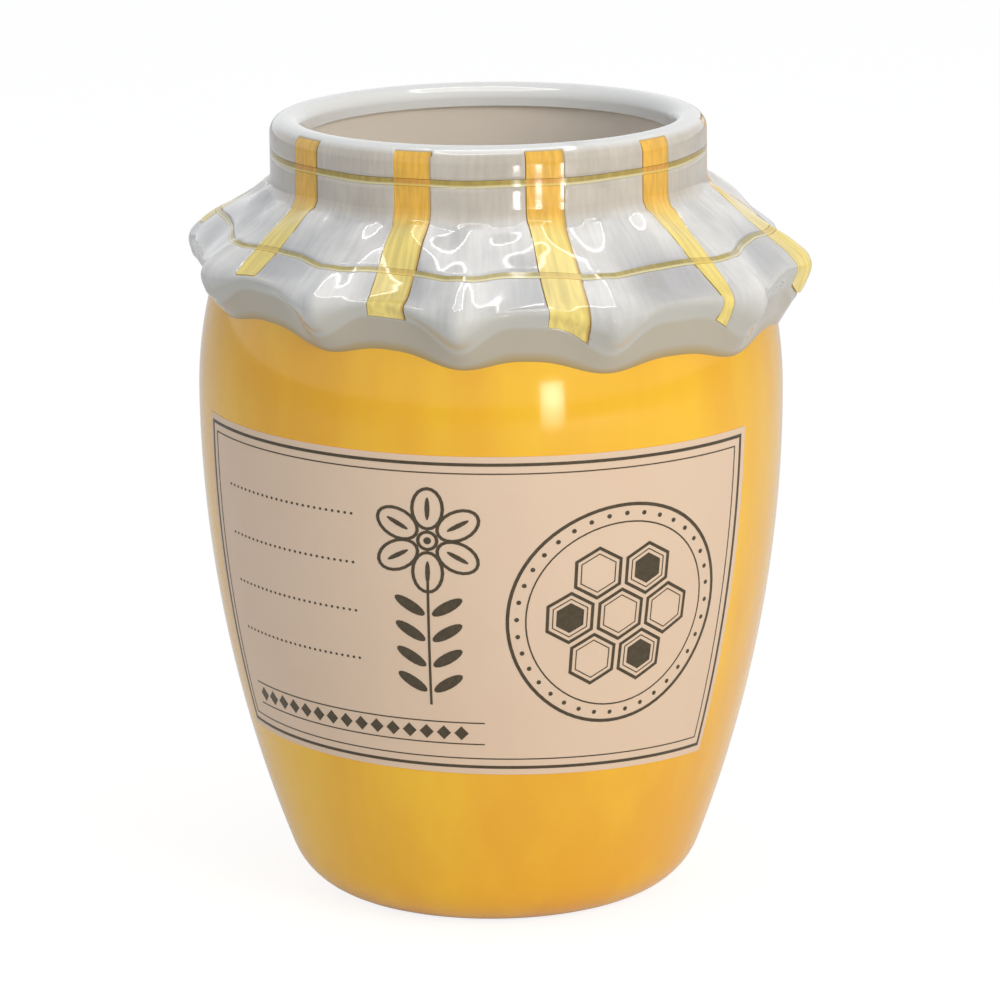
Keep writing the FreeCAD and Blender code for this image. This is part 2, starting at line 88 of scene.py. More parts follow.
def put(tree, kind, sockets=None, **settings):
    """Adds a node with its settings, and gives its sockets a value or another node's output."""
    node = tree.nodes.new(kind)
    for name, value in settings.items():
        setattr(node, name, value)
    for name, value in (sockets or {}).items():
        if isinstance(value, bpy.types.NodeSocket):
            tree.links.new(value, node.inputs[name])
        else:
            node.inputs[name].default_value = value
    return node


def blend(tree, share, first, second):
    """A colour between two others, each an sRGB hex value or a node's output."""
    first, second = (paint(part) if isinstance(part, str) else part for part in (first, second))
    return put(tree, "ShaderNodeMix", {0: share, 6: first, 7: second}, data_type="RGBA").outputs[2]


def reckon(tree, operation, *values):
    """Arithmetic on numbers."""
    return put(tree, "ShaderNodeMath", dict(enumerate(values)), operation=operation).outputs[0]


def new_object(name, bm, *materials):
    """A finished piece from a bmesh: smooth faces, with hard edges where it turns sharply."""
    mesh = bpy.data.meshes.new(name)
    for edge in bm.edges:
        smooth = len(edge.link_faces) != 2 or edge.calc_face_angle() < math.radians(HARD_EDGE)
        edge.smooth = smooth
    for face in bm.faces:
        face.smooth = True
    bm.to_mesh(mesh)
    bm.free()
    for material in materials:
        mesh.materials.append(material)
    made = bpy.data.objects.new(name, mesh)
    bpy.context.scene.collection.objects.link(made)
    return made


def new_material(name):
    """A material without nodes."""
    material = bpy.data.materials.new(name)
    material.use_nodes = True
    material.node_tree.nodes.clear()
    return material


def white_room():
    """Even light from all round, which the camera and the glaze see as plain white."""
    world = bpy.data.worlds.new("white_room")
    world.use_nodes = True
    world.node_tree.nodes.clear()
    tree = world.node_tree
    rays = put(tree, "ShaderNodeLightPath").outputs
    seen = reckon(tree, "MAXIMUM", rays["Is Camera Ray"], rays["Is Glossy Ray"])
    seen = reckon(tree, "MAXIMUM", seen, rays["Is Transmission Ray"])
    light = put(tree, "ShaderNodeBackground", {"Color": paint("#F4F6FA"), "Strength": ROOM_LIGHT})
    white = put(tree, "ShaderNodeBackground", {"Color": paint("#FFFFFF"), "Strength": 1.0})
    sockets = {0: seen, 1: light.outputs[0], 2: white.outputs[0]}
    mixed = put(tree, "ShaderNodeMixShader", sockets)
    put(tree, "ShaderNodeOutputWorld", {"Surface": mixed.outputs[0]})
    return world


def white_table():
    """Matt white board. The camera sees it lifted to white, and it keeps a faint contact shadow."""
    material = new_material("matt_white_board")
    tree = material.node_tree
    rays = put(tree, "ShaderNodeLightPath").outputs
    tone = blend(tree, rays["Is Camera Ray"], "#EDEDED", "#8C8C8C")
    board = put(tree, "ShaderNodeBsdfDiffuse", {"Color": tone})
    mirrored = reckon(tree, "MULTIPLY", rays["Is Glossy Ray"], TABLE_MIRRORED)
    lift = reckon(tree, "MULTIPLY_ADD", rays["Is Camera Ray"], TABLE_SEEN, mirrored)
    lift = put(tree, "ShaderNodeEmission", {"Color": paint("#FFFFFF"), "Strength": lift})
    both = put(tree, "ShaderNodeAddShader", {0: board.outputs[0], 1: lift.outputs[0]})
    put(tree, "ShaderNodeOutputMaterial", {"Surface": both.outputs[0]})
    bm = bmesh.new()
    bmesh.ops.create_grid(bm, x_segments=1, y_segments=1, size=TABLE_SIZE)
    return new_object("table", bm, material)


def soft_light(name, place, aim, width, height, watts, colour, lights=True, mirrored=True):
    """A rectangular lamp at a place in millimetres, turned to face another. The camera never sees
    it. It lights things, or shows in their glaze, or both."""
    lamp = bpy.data.lights.new(name, "AREA")
    lamp.shape = "RECTANGLE"
    lamp.size = width * MM
    lamp.size_y = height * MM
    lamp.energy = watts
    lamp.color = paint(colour)[:3]
    made = bpy.data.objects.new(name, lamp)
    made.location = Vector(place) * MM
    made.rotation_euler = (Vector(aim) - Vector(place)).to_track_quat("-Z", "Y").to_euler()
    made.visible_camera = False
    made.visible_diffuse = lights
    made.visible_glossy = mirrored
    bpy.context.scene.collection.objects.link(made)
    return made


camera = bpy.data.objects.new("camera", bpy.data.cameras.new("camera"))
camera.data.lens = CAMERA_LENS
camera.data.sensor_width = SENSOR_WIDTH
camera.data.clip_end = FAR_CLIP
turn = Matrix.Rotation(math.radians(CAMERA_YAW), 4, "Z")
tilt = Matrix.Rotation(math.radians(90.0 - CAMERA_PITCH), 4, "X")
roll = Matrix.Rotation(math.radians(CAMERA_ROLL), 4, "Z")
camera.matrix_world = Matrix.Translation((0, -CAMERA_BACK, CAMERA_UP)) @ turn @ tilt @ roll
bpy.context.scene.collection.objects.link(camera)
bpy.context.scene.camera = camera

bpy.context.scene.world = white_room()
white_table()
soft_light("soft_box_right", place=(800, -1000, 640), aim=BOX_AIM, width=700, height=900,
           watts=8.8, colour="#FFF6EA", mirrored=False)
soft_light("soft_box_left", place=(-900, -500, 500), aim=BOX_AIM, width=500, height=700,
           watts=0.7, colour="#E4ECFF", mirrored=False)
above = soft_light("soft_box_above", ABOVE_PLACE, ABOVE_AIM, ABOVE_WIDTH, ABOVE_DEPTH,
                   watts=2.6, colour="#FFFFFF")
ends_out = (ABOVE_WIDTH + EDGE_WIDTH) / 2
sides_out = (ABOVE_DEPTH + EDGE_WIDTH) / 2
edges = [(-ends_out, 0), (ends_out, 0), (0, -sides_out), (0, sides_out)]
for side, (across, along) in enumerate(edges):
    shift = above.rotation_euler.to_matrix() @ Vector((across, along, 0))
    width = EDGE_WIDTH if across else ABOVE_WIDTH
    height = ABOVE_DEPTH + 2 * EDGE_WIDTH if across else EDGE_WIDTH
    soft_light(f"soft_box_edge_{side}", Vector(ABOVE_PLACE) + shift, Vector(ABOVE_AIM) + shift,
               width, height, EDGE_WATTS * width * height, "#FFFFFF", lights=False)
far = soft_light("window_far", WINDOW_PLACE, WINDOW_AIM, width=54, height=86, watts=0.0016,
                 colour="#FFF8E8", lights=False)
far.data.spread = math.radians(WINDOW_SPREAD)
for side, (place, aim_across, width, panes) in PANES.items():
    for pane, (low, high) in enumerate(panes):
        near = soft_light(f"window_{side}_{pane}", (*place, (low + high) / 2),
                          (aim_across, *PANE_AIM), width, high - low, PANE_WATTS * (high - low),
                          "#FFFFFF", lights=False)
        near.data.spread = math.radians(PANE_SPREAD)

bpy.context.scene.view_settings.view_transform = "Standard"


# ---------------------------------------------------------------- the cast jar
# The pot itself is earthenware, slip-cast in a plaster mould and fired twice. It is glazed honey
# yellow outside and pale inside, and stands on a flat foot. All sizes are in millimetres.

BELLY_RADIUS = 70.5
BELLY_HEIGHT = 124.0
FLANK_ROUND = 315.0
UPPER_ROUND = 100.0
FOOT_ROUND = 18.0
WALL = 5.5
FLOOR = 7.0
FLOOR_CORNER = 12.0
WIPED_FOOT = 0.15
SHOULDER_HEIGHT = 157.4
INNER_SHOULDER = 22.0
NECK_RADIUS = 49.4
NECK_ROOT = 170.5
NECK_TOP = 184.6
NECK_WALL = 3.2
INNER_NECK_ROOT = 166.0
JAR_STEPS = 288
FOOT_STEPS = 12
FLANK_STEPS = 40
SHOULDER_STEPS = 12
INNER_SHOULDER_STEPS = 10
INNER_FLANK_STEPS = 30
CORNER_STEPS = 10
FLANK_CENTRE = (BELLY_RADIUS - FLANK_ROUND, BELLY_HEIGHT)
UPPER_CENTRE = (BELLY_RADIUS - UPPER_ROUND, BELLY_HEIGHT)


def start_outline(bm, radius, height):
    """The first point of an outline."""
    return bm.verts.new((radius, 0, height))


def run_to(bm, last, radius, height):
    """Draws the outline on in a straight line, and gives its new end."""
    new = bmesh.ops.extrude_vert_indiv(bm, verts=[last])["verts"][0]
    new.co = (radius, 0, height)
    return new


def bend_round(bm, last, centre, degrees, steps):
    """Draws the outline on in an arc round a centre, and gives its new end. With the pot's axis
    on the left, anticlockwise is positive."""
    made = bmesh.ops.spin(bm, geom=[last], cent=(centre[0], 0, centre[1]), axis=(0, 1, 0),
                          angle=math.radians(-degrees), steps=steps)
    return next(part for part in made["geom_last"] if isinstance(part, bmesh.types.BMVert))


def throw(bm, steps):
    """Turns an outline in millimetres into a closed round shape in metres."""
    bmesh.ops.spin(bm, geom=bm.verts[:] + bm.edges[:], cent=(0, 0, 0), axis=(0, 0, 1),
                   angle=2 * math.pi, steps=steps, use_merge=True)
    bmesh.ops.remove_doubles(bm, verts=bm.verts, dist=0.001)
    bmesh.ops.recalc_face_normals(bm, faces=bm.faces)
    bmesh.ops.scale(bm, verts=bm.verts, vec=(MM, MM, MM))


def touching(centre, reach, height):
    """Where a circle lies that touches an arc from inside: how far out, and at which angle."""
    rise = height - centre[1]
    out = centre[0] + math.sqrt(reach ** 2 - rise ** 2)
    return out, math.degrees(math.atan2(rise, out - centre[0]))


def upper_radius(height):
    """The outside radius of the pot above its belly."""
    return UPPER_CENTRE[0] + math.sqrt(UPPER_ROUND ** 2 - (height - BELLY_HEIGHT) ** 2)


def flank_radius(height):
    """The outside radius of the pot below its belly."""
    return FLANK_CENTRE[0] + math.sqrt(FLANK_ROUND ** 2 - (height - BELLY_HEIGHT) ** 2)


def on_object(tree):
    """The place on the piece, in metres."""
    return put(tree, "ShaderNodeTexCoord").outputs["Object"]


def clouds(tree, place, scale, detail):
    """Soft noise, in values round 0.5."""
    sockets = {"Vector": place, "Scale": scale, "Detail": detail}
    return put(tree, "ShaderNodeTexNoise", sockets).outputs[0]


def stretch(tree, value, start, end, low=0.0, high=1.0):
    """A number stretched from one range to another, and held at the ends."""
    return put(tree, "ShaderNodeMapRange", {0: value, 1: start, 2: end, 3: low, 4: high}).outputs[0]


def ripple(tree, height, strength, distance):
    """Small relief, as the direction that a surface faces."""
    sockets = {"Height": height, "Strength": strength, "Distance": distance}
    return put(tree, "ShaderNodeBump", sockets).outputs[0]


def cover(tree, colour, roughness, **more):
    """Ends a material in a surface. Its other inputs are given as Coat_Weight for Coat Weight."""
    sockets = {name.replace("_", " "): value for name, value in more.items()}
    sockets.update({"Base Color": colour, "Roughness": roughness})
    face = put(tree, "ShaderNodeBsdfPrincipled", sockets)
    put(tree, "ShaderNodeOutputMaterial", {"Surface": face.outputs[0]})


def honey_glaze():
    """Majolica glaze, brushed on and fired glossy: a strong yellow, deeper in upright streaks
    where it is a little thicker, and softly rippled."""
    material = new_material("honey_majolica_glaze")
    tree = material.node_tree
    place = on_object(tree)
    upright = put(tree, "ShaderNodeMapping", {"Vector": place, "Scale": (1, 1, 0.25)})
    streak = clouds(tree, upright.outputs[0], 60.0, 3.0)
    thick = reckon(tree, "MULTIPLY", streak, clouds(tree, place, 14.0, 2.0))
    colour = blend(tree, stretch(tree, thick, 0.16, 0.36), "#FFC81E", "#F6B517")
    cover(tree, colour, 0.1, IOR=1.5, Coat_Weight=0.3, Coat_Roughness=0.05,
          Normal=ripple(tree, clouds(tree, place, 45.0, 1.0), 0.25, 0.0004))
    return material


def inner_glaze():
    """Clear glaze over the pale clay: a warm white, a little uneven."""
    material = new_material("clear_glaze_inside")
    tree = material.node_tree
    colour = blend(tree, clouds(tree, on_object(tree), 22.0, 3.0), "#FAF2E6", "#EFE6D9")
    cover(tree, colour, 0.16, IOR=1.5)
    return material


def bisque():
    """Bare fired clay where the glaze is wiped off the foot, so that it can't stick in the kiln."""
    material = new_material("bare_bisque_foot")
    tree = material.node_tree
    grain = clouds(tree, on_object(tree), 700.0, 3.0)
    colour = blend(tree, grain, "#D9CFBF", "#E8E0D2")
    cover(tree, colour, 0.85, Normal=ripple(tree, grain, 0.4, 0.0002))
    return material


def cast_jar():
    """One outline thrown round: out from the foot, up to the top of the neck, and down inside."""
    foot_out, foot_angle = touching(FLANK_CENTRE, FLANK_ROUND - FOOT_ROUND, FOOT_ROUND)
    corner_up = FLOOR + FLOOR_CORNER
    corner_out, corner_angle = touching(FLANK_CENTRE, FLANK_ROUND - WALL - FLOOR_CORNER, corner_up)
    shoulder_out = upper_radius(SHOULDER_HEIGHT) - UPPER_CENTRE[0]
    shoulder_angle = math.degrees(math.atan2(SHOULDER_HEIGHT - BELLY_HEIGHT, shoulder_out))
    inner_upper = UPPER_ROUND - WALL
    inner_turn = math.radians(INNER_SHOULDER)

    bm = bmesh.new()
    last = start_outline(bm, 0, 0)
    last = run_to(bm, last, foot_out, 0)
    last = bend_round(bm, last, (foot_out, FOOT_ROUND), 90 + foot_angle, FOOT_STEPS)
    last = bend_round(bm, last, FLANK_CENTRE, -foot_angle, FLANK_STEPS)
    last = bend_round(bm, last, UPPER_CENTRE, shoulder_angle, SHOULDER_STEPS)
    last = run_to(bm, last, NECK_RADIUS, NECK_ROOT)
    last = run_to(bm, last, NECK_RADIUS, NECK_TOP)
    last = run_to(bm, last, NECK_RADIUS - NECK_WALL, NECK_TOP)
    last = run_to(bm, last, NECK_RADIUS - NECK_WALL, INNER_NECK_ROOT)
    last = run_to(bm, last, UPPER_CENTRE[0] + inner_upper * math.cos(inner_turn),
                  BELLY_HEIGHT + inner_upper * math.sin(inner_turn))
    last = bend_round(bm, last, UPPER_CENTRE, -INNER_SHOULDER, INNER_SHOULDER_STEPS)
    last = bend_round(bm, last, FLANK_CENTRE, corner_angle, INNER_FLANK_STEPS)
    last = bend_round(bm, last, (corner_out, corner_up), -90 - corner_angle, CORNER_STEPS)
    run_to(bm, last, 0, FLOOR)
    throw(bm, JAR_STEPS)
    for face in bm.faces:
        middle = face.calc_center_median()
        inward = face.normal.x * middle.x + face.normal.y * middle.y < 0
        inside = inward and middle.z > FLOOR * MM / 2
        face.material_index = 2 if middle.z < WIPED_FOOT * MM else int(inside)
    return new_object("jar", bm, honey_glaze(), inner_glaze(), bisque())


jar = cast_jar()
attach(jar, "root")
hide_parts("jar_body")


# ---------------------------------------------------------------- the gathered cloth
# The top of the mould is shaped as a cloth tied over the neck: a rolled lip, a plain band, and a
# frill that flares out in folds, turns over at its hem and runs back in to the pot. It has a thin
# grey-white glaze. The cloth is one outline thrown round the pot and then pushed into folds.

CLOTH_RADIUS = 52.4
MOUTH_RADIUS = 44.5
JAR_HEIGHT = 190.0
LIP_OUTER_ROUND = 3.6
LIP_INNER_ROUND = 3.4
LIP_UP = 0.5
LIP_FORWARD = 1.0
BAND_TOP = 186.4
BAND_HEIGHT = 11.8
CREASE_HEIGHT = 174.6
CREST = (74.4, 158.2)
HEM = (71.0, 151.1)
EDGE_HEIGHT = 145.4
FOLD_COUNT = 12
FIRST_FOLD = -7.0
FOLD_SWAY = 2.8
FOLD_FLUTTER = 1.5
FOLD_PHASES = (0.6, 2.4, 2.1)
FOLD_SHARPNESS = 1.35
HEM_SHARPNESS = 1.7
# how far out and down a ridge goes, and how far down the cloth hangs on its lower side
CREASE_DROP = 0.3
CREST_OUT, CREST_DROP, CREST_HANG = 1.6, 1.7, 2.5
HEM_OUT, HEM_DROP, HEM_HANG = 0.5, 3.4, 4.2
EDGE_DROP, EDGE_HANG = 1.4, 5.0
EDGE_SUNK_DOWN, EDGE_SUNK_IN = 2, 1.0
LEAN_ANGLE = 70.0
FRILL_SHIFT = 2.0
HEM_SHIFT = 0.4
# relief on the frill: how far it stands up, over which runs, and its spread round the pot
PUFF_RUNS = (1, 3.5)
PINCH, PINCH_RUNS, PINCH_SHARPNESS = 1.3, (1.35, 1.8, 2.5, 2.95), 12
POCKET, POCKET_RUNS, POCKET_SHARPNESS = 2.2, (1.25, 1.75, 1.85, 2.5), 1.3
PLEAT, PLEAT_RUNS, PLEAT_TURN = 0.6, (1.0, 1.1, 1.12, 1.4), 31
DENT, DENT_RUNS, DENTS_ROUND, DENTS_DOWN = 1.1, (1.1, 1.4, 2.3, 2.95), 4.5, 1.3
CLOTH_GAP = 0.1
RIM_GAP = 0.05
TOLERANCE = 0.01
LIP_STEPS = 10
CLOTH_STEPS = 432
# how much of the run before and after the crease, the crest and the hem is rolled
ROLLS = [(0.16, 0.08), (0.12, 0.34), (0.09, 0.06)]
SOFTER_VALLEY = 0.3
# rows from each corner to the next
EVEN_ROWS = [10, 34, 10, 9, 2]
ROW_CLEARANCE = 0.4
LINE_WIDTH = 1.5
LINE_DEPTH = 0.3
LINE_GAP = 0.1
STRIPE_DEPTH = 0.5
TILE_GAP = 0.05
END_GAP = 0.05
GROOVE = 0.35
BRUSH_ROUND = 60
BRUSH_DOWN = 2.4
# painted shade darkens the wash in steps below the crest and under the hem, and the last step is
# the grey glaze running into the yellow near the pot: from run to run, and its colour
SHADE_AND_WASH_BELOW = [(1.9, 2.5, "#C2C3BC"), (2.9, 3.05, "#BAB3A2"), (3.7, 4.0, "#B0975A")]
STRIPE_COUNT = 10
STRIPE_WIDTH = 9.0
FIRST_STRIPE = -55.4
STRIPE_WANDER = 6.0
STRIPE_RUNS = (-0.26, 2.93)
# by number from 0: stripes with their own width at the frill's edge and their own end, and
# stripes turned from their place by some degrees
TAPERS = {0: (4.4, 2.1), 3: (2.6, 2.93), 4: (14.0, 2.7), 6: (5.6, 2.93), 8: (6.6, 2.93),
          9: (4.0, 1.8)}
NUDGES = {4: 3.5, 9: -7.0}
TAPER_REACH = 74.0
# the run that each thin line lies on, and how many millimetres a run is there
LINES = {"check_line_neck": (0.34, BAND_HEIGHT), "check_line_frill": (1.6, 27.4)}


def fold(angle):
    """The wave of the gathers: 1 on a ridge and -1 in a valley, swaying a little round the pot."""
    turned = math.radians(angle)
    first, second, third = FOLD_PHASES
    sway = FOLD_SWAY * math.cos(turned - first)
    sway += FOLD_FLUTTER * (math.cos(2 * turned + second) + math.cos(3 * turned + third))
    phase = FOLD_COUNT * math.radians(angle - FIRST_FOLD - sway)
    return 2 * ((1 + math.cos(phase)) / 2) ** FOLD_SHARPNESS - 1


def cloth_corners(angle):
    """Radius and height of the cloth's corners at an angle: the top of the band, the crease, the
    crest, the hem, the edge on the pot, and a point sunk in the pot."""
    ridge = fold(angle)
    hang = math.cos(math.radians(angle - LEAN_ANGLE))
    shift = FRILL_SHIFT * math.sin(math.radians(angle))
    point = 2 * ((1 + ridge) / 2) ** HEM_SHARPNESS - 1
    edge = EDGE_HEIGHT - EDGE_DROP * ridge - EDGE_HANG * hang
    sunk = edge - EDGE_SUNK_DOWN
    return [
        (CLOTH_RADIUS, BAND_TOP),
        (CLOTH_RADIUS, CREASE_HEIGHT - CREASE_DROP * ridge),
        (CREST[0] + CREST_OUT * ridge + shift, CREST[1] - CREST_DROP * ridge - CREST_HANG * hang),
        (HEM[0] + HEM_OUT * ridge + HEM_SHIFT * shift, HEM[1] - HEM_DROP * point - HEM_HANG * hang),
        (upper_radius(edge) + CLOTH_GAP, edge),
        (upper_radius(sunk) - EDGE_SUNK_IN, sunk),
    ]


def between(start, end, share):
    """A point some share of the way from one to another."""
    return tuple(a + share * (b - a) for a, b in zip(start, end))


def cloth_place(run, angle):
    """Radius and height of the cloth's surface. A run of 0, 1, 2 and so on is at a corner, and
    the crease, the crest and the hem are rolled."""
    corners = cloth_corners(angle)
    for corner, (before, after) in enumerate(ROLLS, start=1):
        before += SOFTER_VALLEY * (1 - fold(angle)) / 2 if corner == 2 else 0
        share = (run - corner + before) / (before + after)
        if 0 < share < 1:
            start = between(corners[corner], corners[corner - 1], before)
            end = between(corners[corner], corners[corner + 1], after)
            return between(between(start, corners[corner], share),
                           between(corners[corner], end, share), share)
    leg = min(int(run), len(corners) - 2)
    return between(corners[leg], corners[leg + 1], run - leg)


def swell(value, start, full, ease, end):
    """Rises from 0 to 1 between two values, stays, and falls back to 0 between two more."""
    rise = min(max((value - start) / (full - start), 0), 1)
    fall = min(max((end - value) / (end - ease), 0), 1)
    return (3 - 2 * rise) * rise ** 2 * (3 - 2 * fall) * fall ** 2


def puff(run, angle):
    """How far the cloth stands up from its straight flare, in millimetres: pinched ridges with
    hollow pockets between them, small pleats at the crease, and broad dents."""
    ridge = (1 + fold(angle)) / 2
    pinch = PINCH * ridge ** PINCH_SHARPNESS * swell(run, *PINCH_RUNS)
    pocket = -POCKET * (1 - ridge) ** POCKET_SHARPNESS * swell(run, *POCKET_RUNS)
    pleats = PLEAT * fold(2 * angle + PLEAT_TURN) * swell(run, *PLEAT_RUNS)
    turned = math.radians(angle)
    spot = Vector((DENTS_ROUND * math.sin(turned), -DENTS_ROUND * math.cos(turned),
                   DENTS_DOWN * run))
    return pinch + pocket + pleats + DENT * noise.noise(spot) * swell(run, *DENT_RUNS)


def line_rows():
    """The runs of the rows on both sides of each thin line and of its grooves."""
    rows = []
    for middle, length in LINES.values():
        for reach in (LINE_WIDTH / 2, LINE_WIDTH / 2 + LINE_GAP):
            rows += [middle - reach / length, middle + reach / length]
    return rows


def cloth_runs():
    """The rows of the cloth below the top of its band, down to its sunk edge. The thin lines and
    most stripes' ends have rows of their own, and even rows keep clear of them."""
    ends = (STRIPE_RUNS[1], TAPERS[0][1])
    runs = line_rows() + [end + gap for end in ends for gap in (0, END_GAP)]
    for leg, count in enumerate(EVEN_ROWS):
        step = 1 / count
        even = [leg + number * step for number in range(count)]
        runs += [run for run in even
                 if min(abs(run - other) for other in runs) > ROW_CLEARANCE * step or run == leg]
    return sorted(set(runs))[1:] + [len(EVEN_ROWS)]


def stripe_angle(number):
    """The stripes were laid out by eye, so their spacing wanders a little."""
    step = 360.0 * number / STRIPE_COUNT
    wander = STRIPE_WANDER * (1 - math.cos(math.radians(step))) / 2
    return FIRST_STRIPE + step - wander + NUDGES.get(number, 0)


def stripe_axes(number):
    """The level directions along a stripe, outwards from the pot's axis, and across it."""
    turned = math.radians(stripe_angle(number))
    along = Vector((math.sin(turned), -math.cos(turned), 0))
    return along, Vector((math.cos(turned), math.sin(turned), 0))


def stripe_half(number, out):
    """Half a stripe's width at a distance from the pot's axis. Some narrow towards the hem, where
    they run into the side of a fold, and one widens on the face of a fold."""
    start = STRIPE_WIDTH / 2
    end = TAPERS.get(number, (STRIPE_WIDTH, 0))[0] / 2
    return start + (end - start) * max(out - CLOTH_RADIUS, 0) / (TAPER_REACH - CLOTH_RADIUS)


def thrown_cloth():
    """The folded cloth, whole, with the run of each of its points and how hollow it is there."""
    bm = bmesh.new()
    run_layer = bm.verts.layers.float.new("run")
    hollow_layer = bm.verts.layers.float.new("hollow")
    ring_out = NECK_RADIUS + CLOTH_GAP
    ring_top = NECK_TOP + RIM_GAP
    roll_out = CLOTH_RADIUS - LIP_OUTER_ROUND
    inner_roll = (MOUTH_RADIUS + LIP_INNER_ROUND, JAR_HEIGHT - LIP_INNER_ROUND)
    last = start_outline(bm, ring_out, ring_top)
    last = run_to(bm, last, MOUTH_RADIUS, ring_top)
    last = run_to(bm, last, MOUTH_RADIUS, JAR_HEIGHT - LIP_INNER_ROUND)
    last = bend_round(bm, last, inner_roll, -90, LIP_STEPS)
    last = run_to(bm, last, roll_out, JAR_HEIGHT)
    last = bend_round(bm, last, (roll_out, BAND_TOP), -90, LIP_STEPS)
    for vert in bm.verts:
        rise = vert.co.z - BAND_TOP
        out = vert.co.x - roll_out
        rolled = min(rise, out) > -TOLERANCE
        round_lip = -LIP_OUTER_ROUND * math.atan2(rise, out) / BAND_HEIGHT
        vert[run_layer] = round_lip if rolled else -1.0
    last[run_layer] = 0.0
    for run in cloth_runs():
        last = run_to(bm, last, *cloth_place(run, 0.0))
        last[run_layer] = run
    for radius, height in [(upper_radius(SHOULDER_HEIGHT) + CLOTH_GAP, SHOULDER_HEIGHT),
                           (ring_out, NECK_ROOT), (ring_out, ring_top)]:
        last = run_to(bm, last, radius, height)
        last[run_layer] = -1.0
    throw(bm, CLOTH_STEPS)
    for vert in bm.verts:
        angle = math.atan2(vert.co.x, -vert.co.y)
        if vert[run_layer] > 0:
            radius, height = cloth_place(vert[run_layer], math.degrees(angle))
            vert.co = Vector((radius * math.sin(angle), -radius * math.cos(angle), height)) * MM
        if vert.co.z > CREASE_HEIGHT * MM:
            share = (vert.co.z / MM - CREASE_HEIGHT) / (JAR_HEIGHT - CREASE_HEIGHT)
            vert.co.z += (LIP_UP + LIP_FORWARD * math.cos(angle)) * share * MM
    bm.normal_update()
    for vert in bm.verts:
        if PUFF_RUNS[0] < vert[run_layer] < PUFF_RUNS[1]:
            risen = puff(vert[run_layer], math.degrees(math.atan2(vert.co.x, -vert.co.y)))
            vert.co += vert.normal * risen * MM
            vert[hollow_layer] = -risen
    return bm


def score_stripes(bm):
    """Cuts the cloth's faces along both edges of each stripe and of its grooves."""
    for number in range(STRIPE_COUNT):
        along, across = stripe_axes(number)
        near = set()
        for face in bm.faces:
            middle = face.calc_center_median()
            if middle.dot(along) > 0 and abs(middle.dot(across)) < STRIPE_WIDTH * MM:
                near.update([face, *face.edges, *face.verts])
        for side in (-1, 1):
            for gap in (0, GROOVE):
                points = [along * out + across * side * (stripe_half(number, out) + gap)
                          for out in (CLOTH_RADIUS, TAPER_REACH)]
                sideways = (points[1] - points[0]).cross(Vector((0, 0, 1)))
                cut = bmesh.ops.bisect_plane(bm, geom=list(near), dist=1e-7,
                                             plane_co=points[0] * MM, plane_no=sideways)
                near = set(cut["geom"])


def mark_check(bm):
    """Gives each face the numbers of the stripe and of the line that it lies in, from 1 up."""
    stripe_layer = bm.faces.layers.int.new("stripe")
    line_layer = bm.faces.layers.int.new("line")
    run_layer = bm.verts.layers.float["run"]
    for face in bm.faces:
        runs = [vert[run_layer] for vert in face.verts]
        run = sum(runs) / len(runs)
        middle = face.calc_center_median()
        if min(runs) == -1:
            continue
        for number, (centre, length) in enumerate(LINES.values(), start=1):
            if abs(run - centre) < LINE_WIDTH / 2 / length:
                face[line_layer] = number
        for number in range(STRIPE_COUNT):
            along, across = stripe_axes(number)
            out = middle.dot(along) / MM
            end = TAPERS.get(number, STRIPE_RUNS)[1]
            inside = out > 0 and abs(middle.dot(across)) < stripe_half(number, out) * MM
            if inside and STRIPE_RUNS[0] < run < end:
                face[stripe_layer] = number + 1


def mark_surface(bm):
    """Keeps each point's outward direction, and a place for brush strokes: about millimetres
    round the pot, but squeezed down it, so that noise there runs down the cloth in streaks."""
    out_layer = bm.verts.layers.float_vector.new("outward")
    brush_layer = bm.verts.layers.float_vector.new("brush")
    bm.verts.layers.float.new("offset")
    run_layer = bm.verts.layers.float["run"]
    bm.normal_update()
    for vert in bm.verts:
        turned = math.atan2(vert.co.x, -vert.co.y)
        vert[out_layer] = vert.normal
        vert[brush_layer] = (BRUSH_ROUND * math.sin(turned), -BRUSH_ROUND * math.cos(turned),
                             BRUSH_DOWN * vert[run_layer])


def press(bm, faces, depth):
    """Presses some faces of the cloth in to a depth below its surface."""
    out_layer = bm.verts.layers.float_vector["outward"]
    offset_layer = bm.verts.layers.float["offset"]
    for vert in {vert for face in faces for vert in face.verts}:
        deeper = max(depth - vert[offset_layer], 0)
        vert.co -= vert[out_layer] * deeper * MM
        vert[offset_layer] += deeper


def attribute(tree, name):
    """A number kept on the points of the mesh."""
    return put(tree, "ShaderNodeAttribute", attribute_name=name).outputs["Fac"]


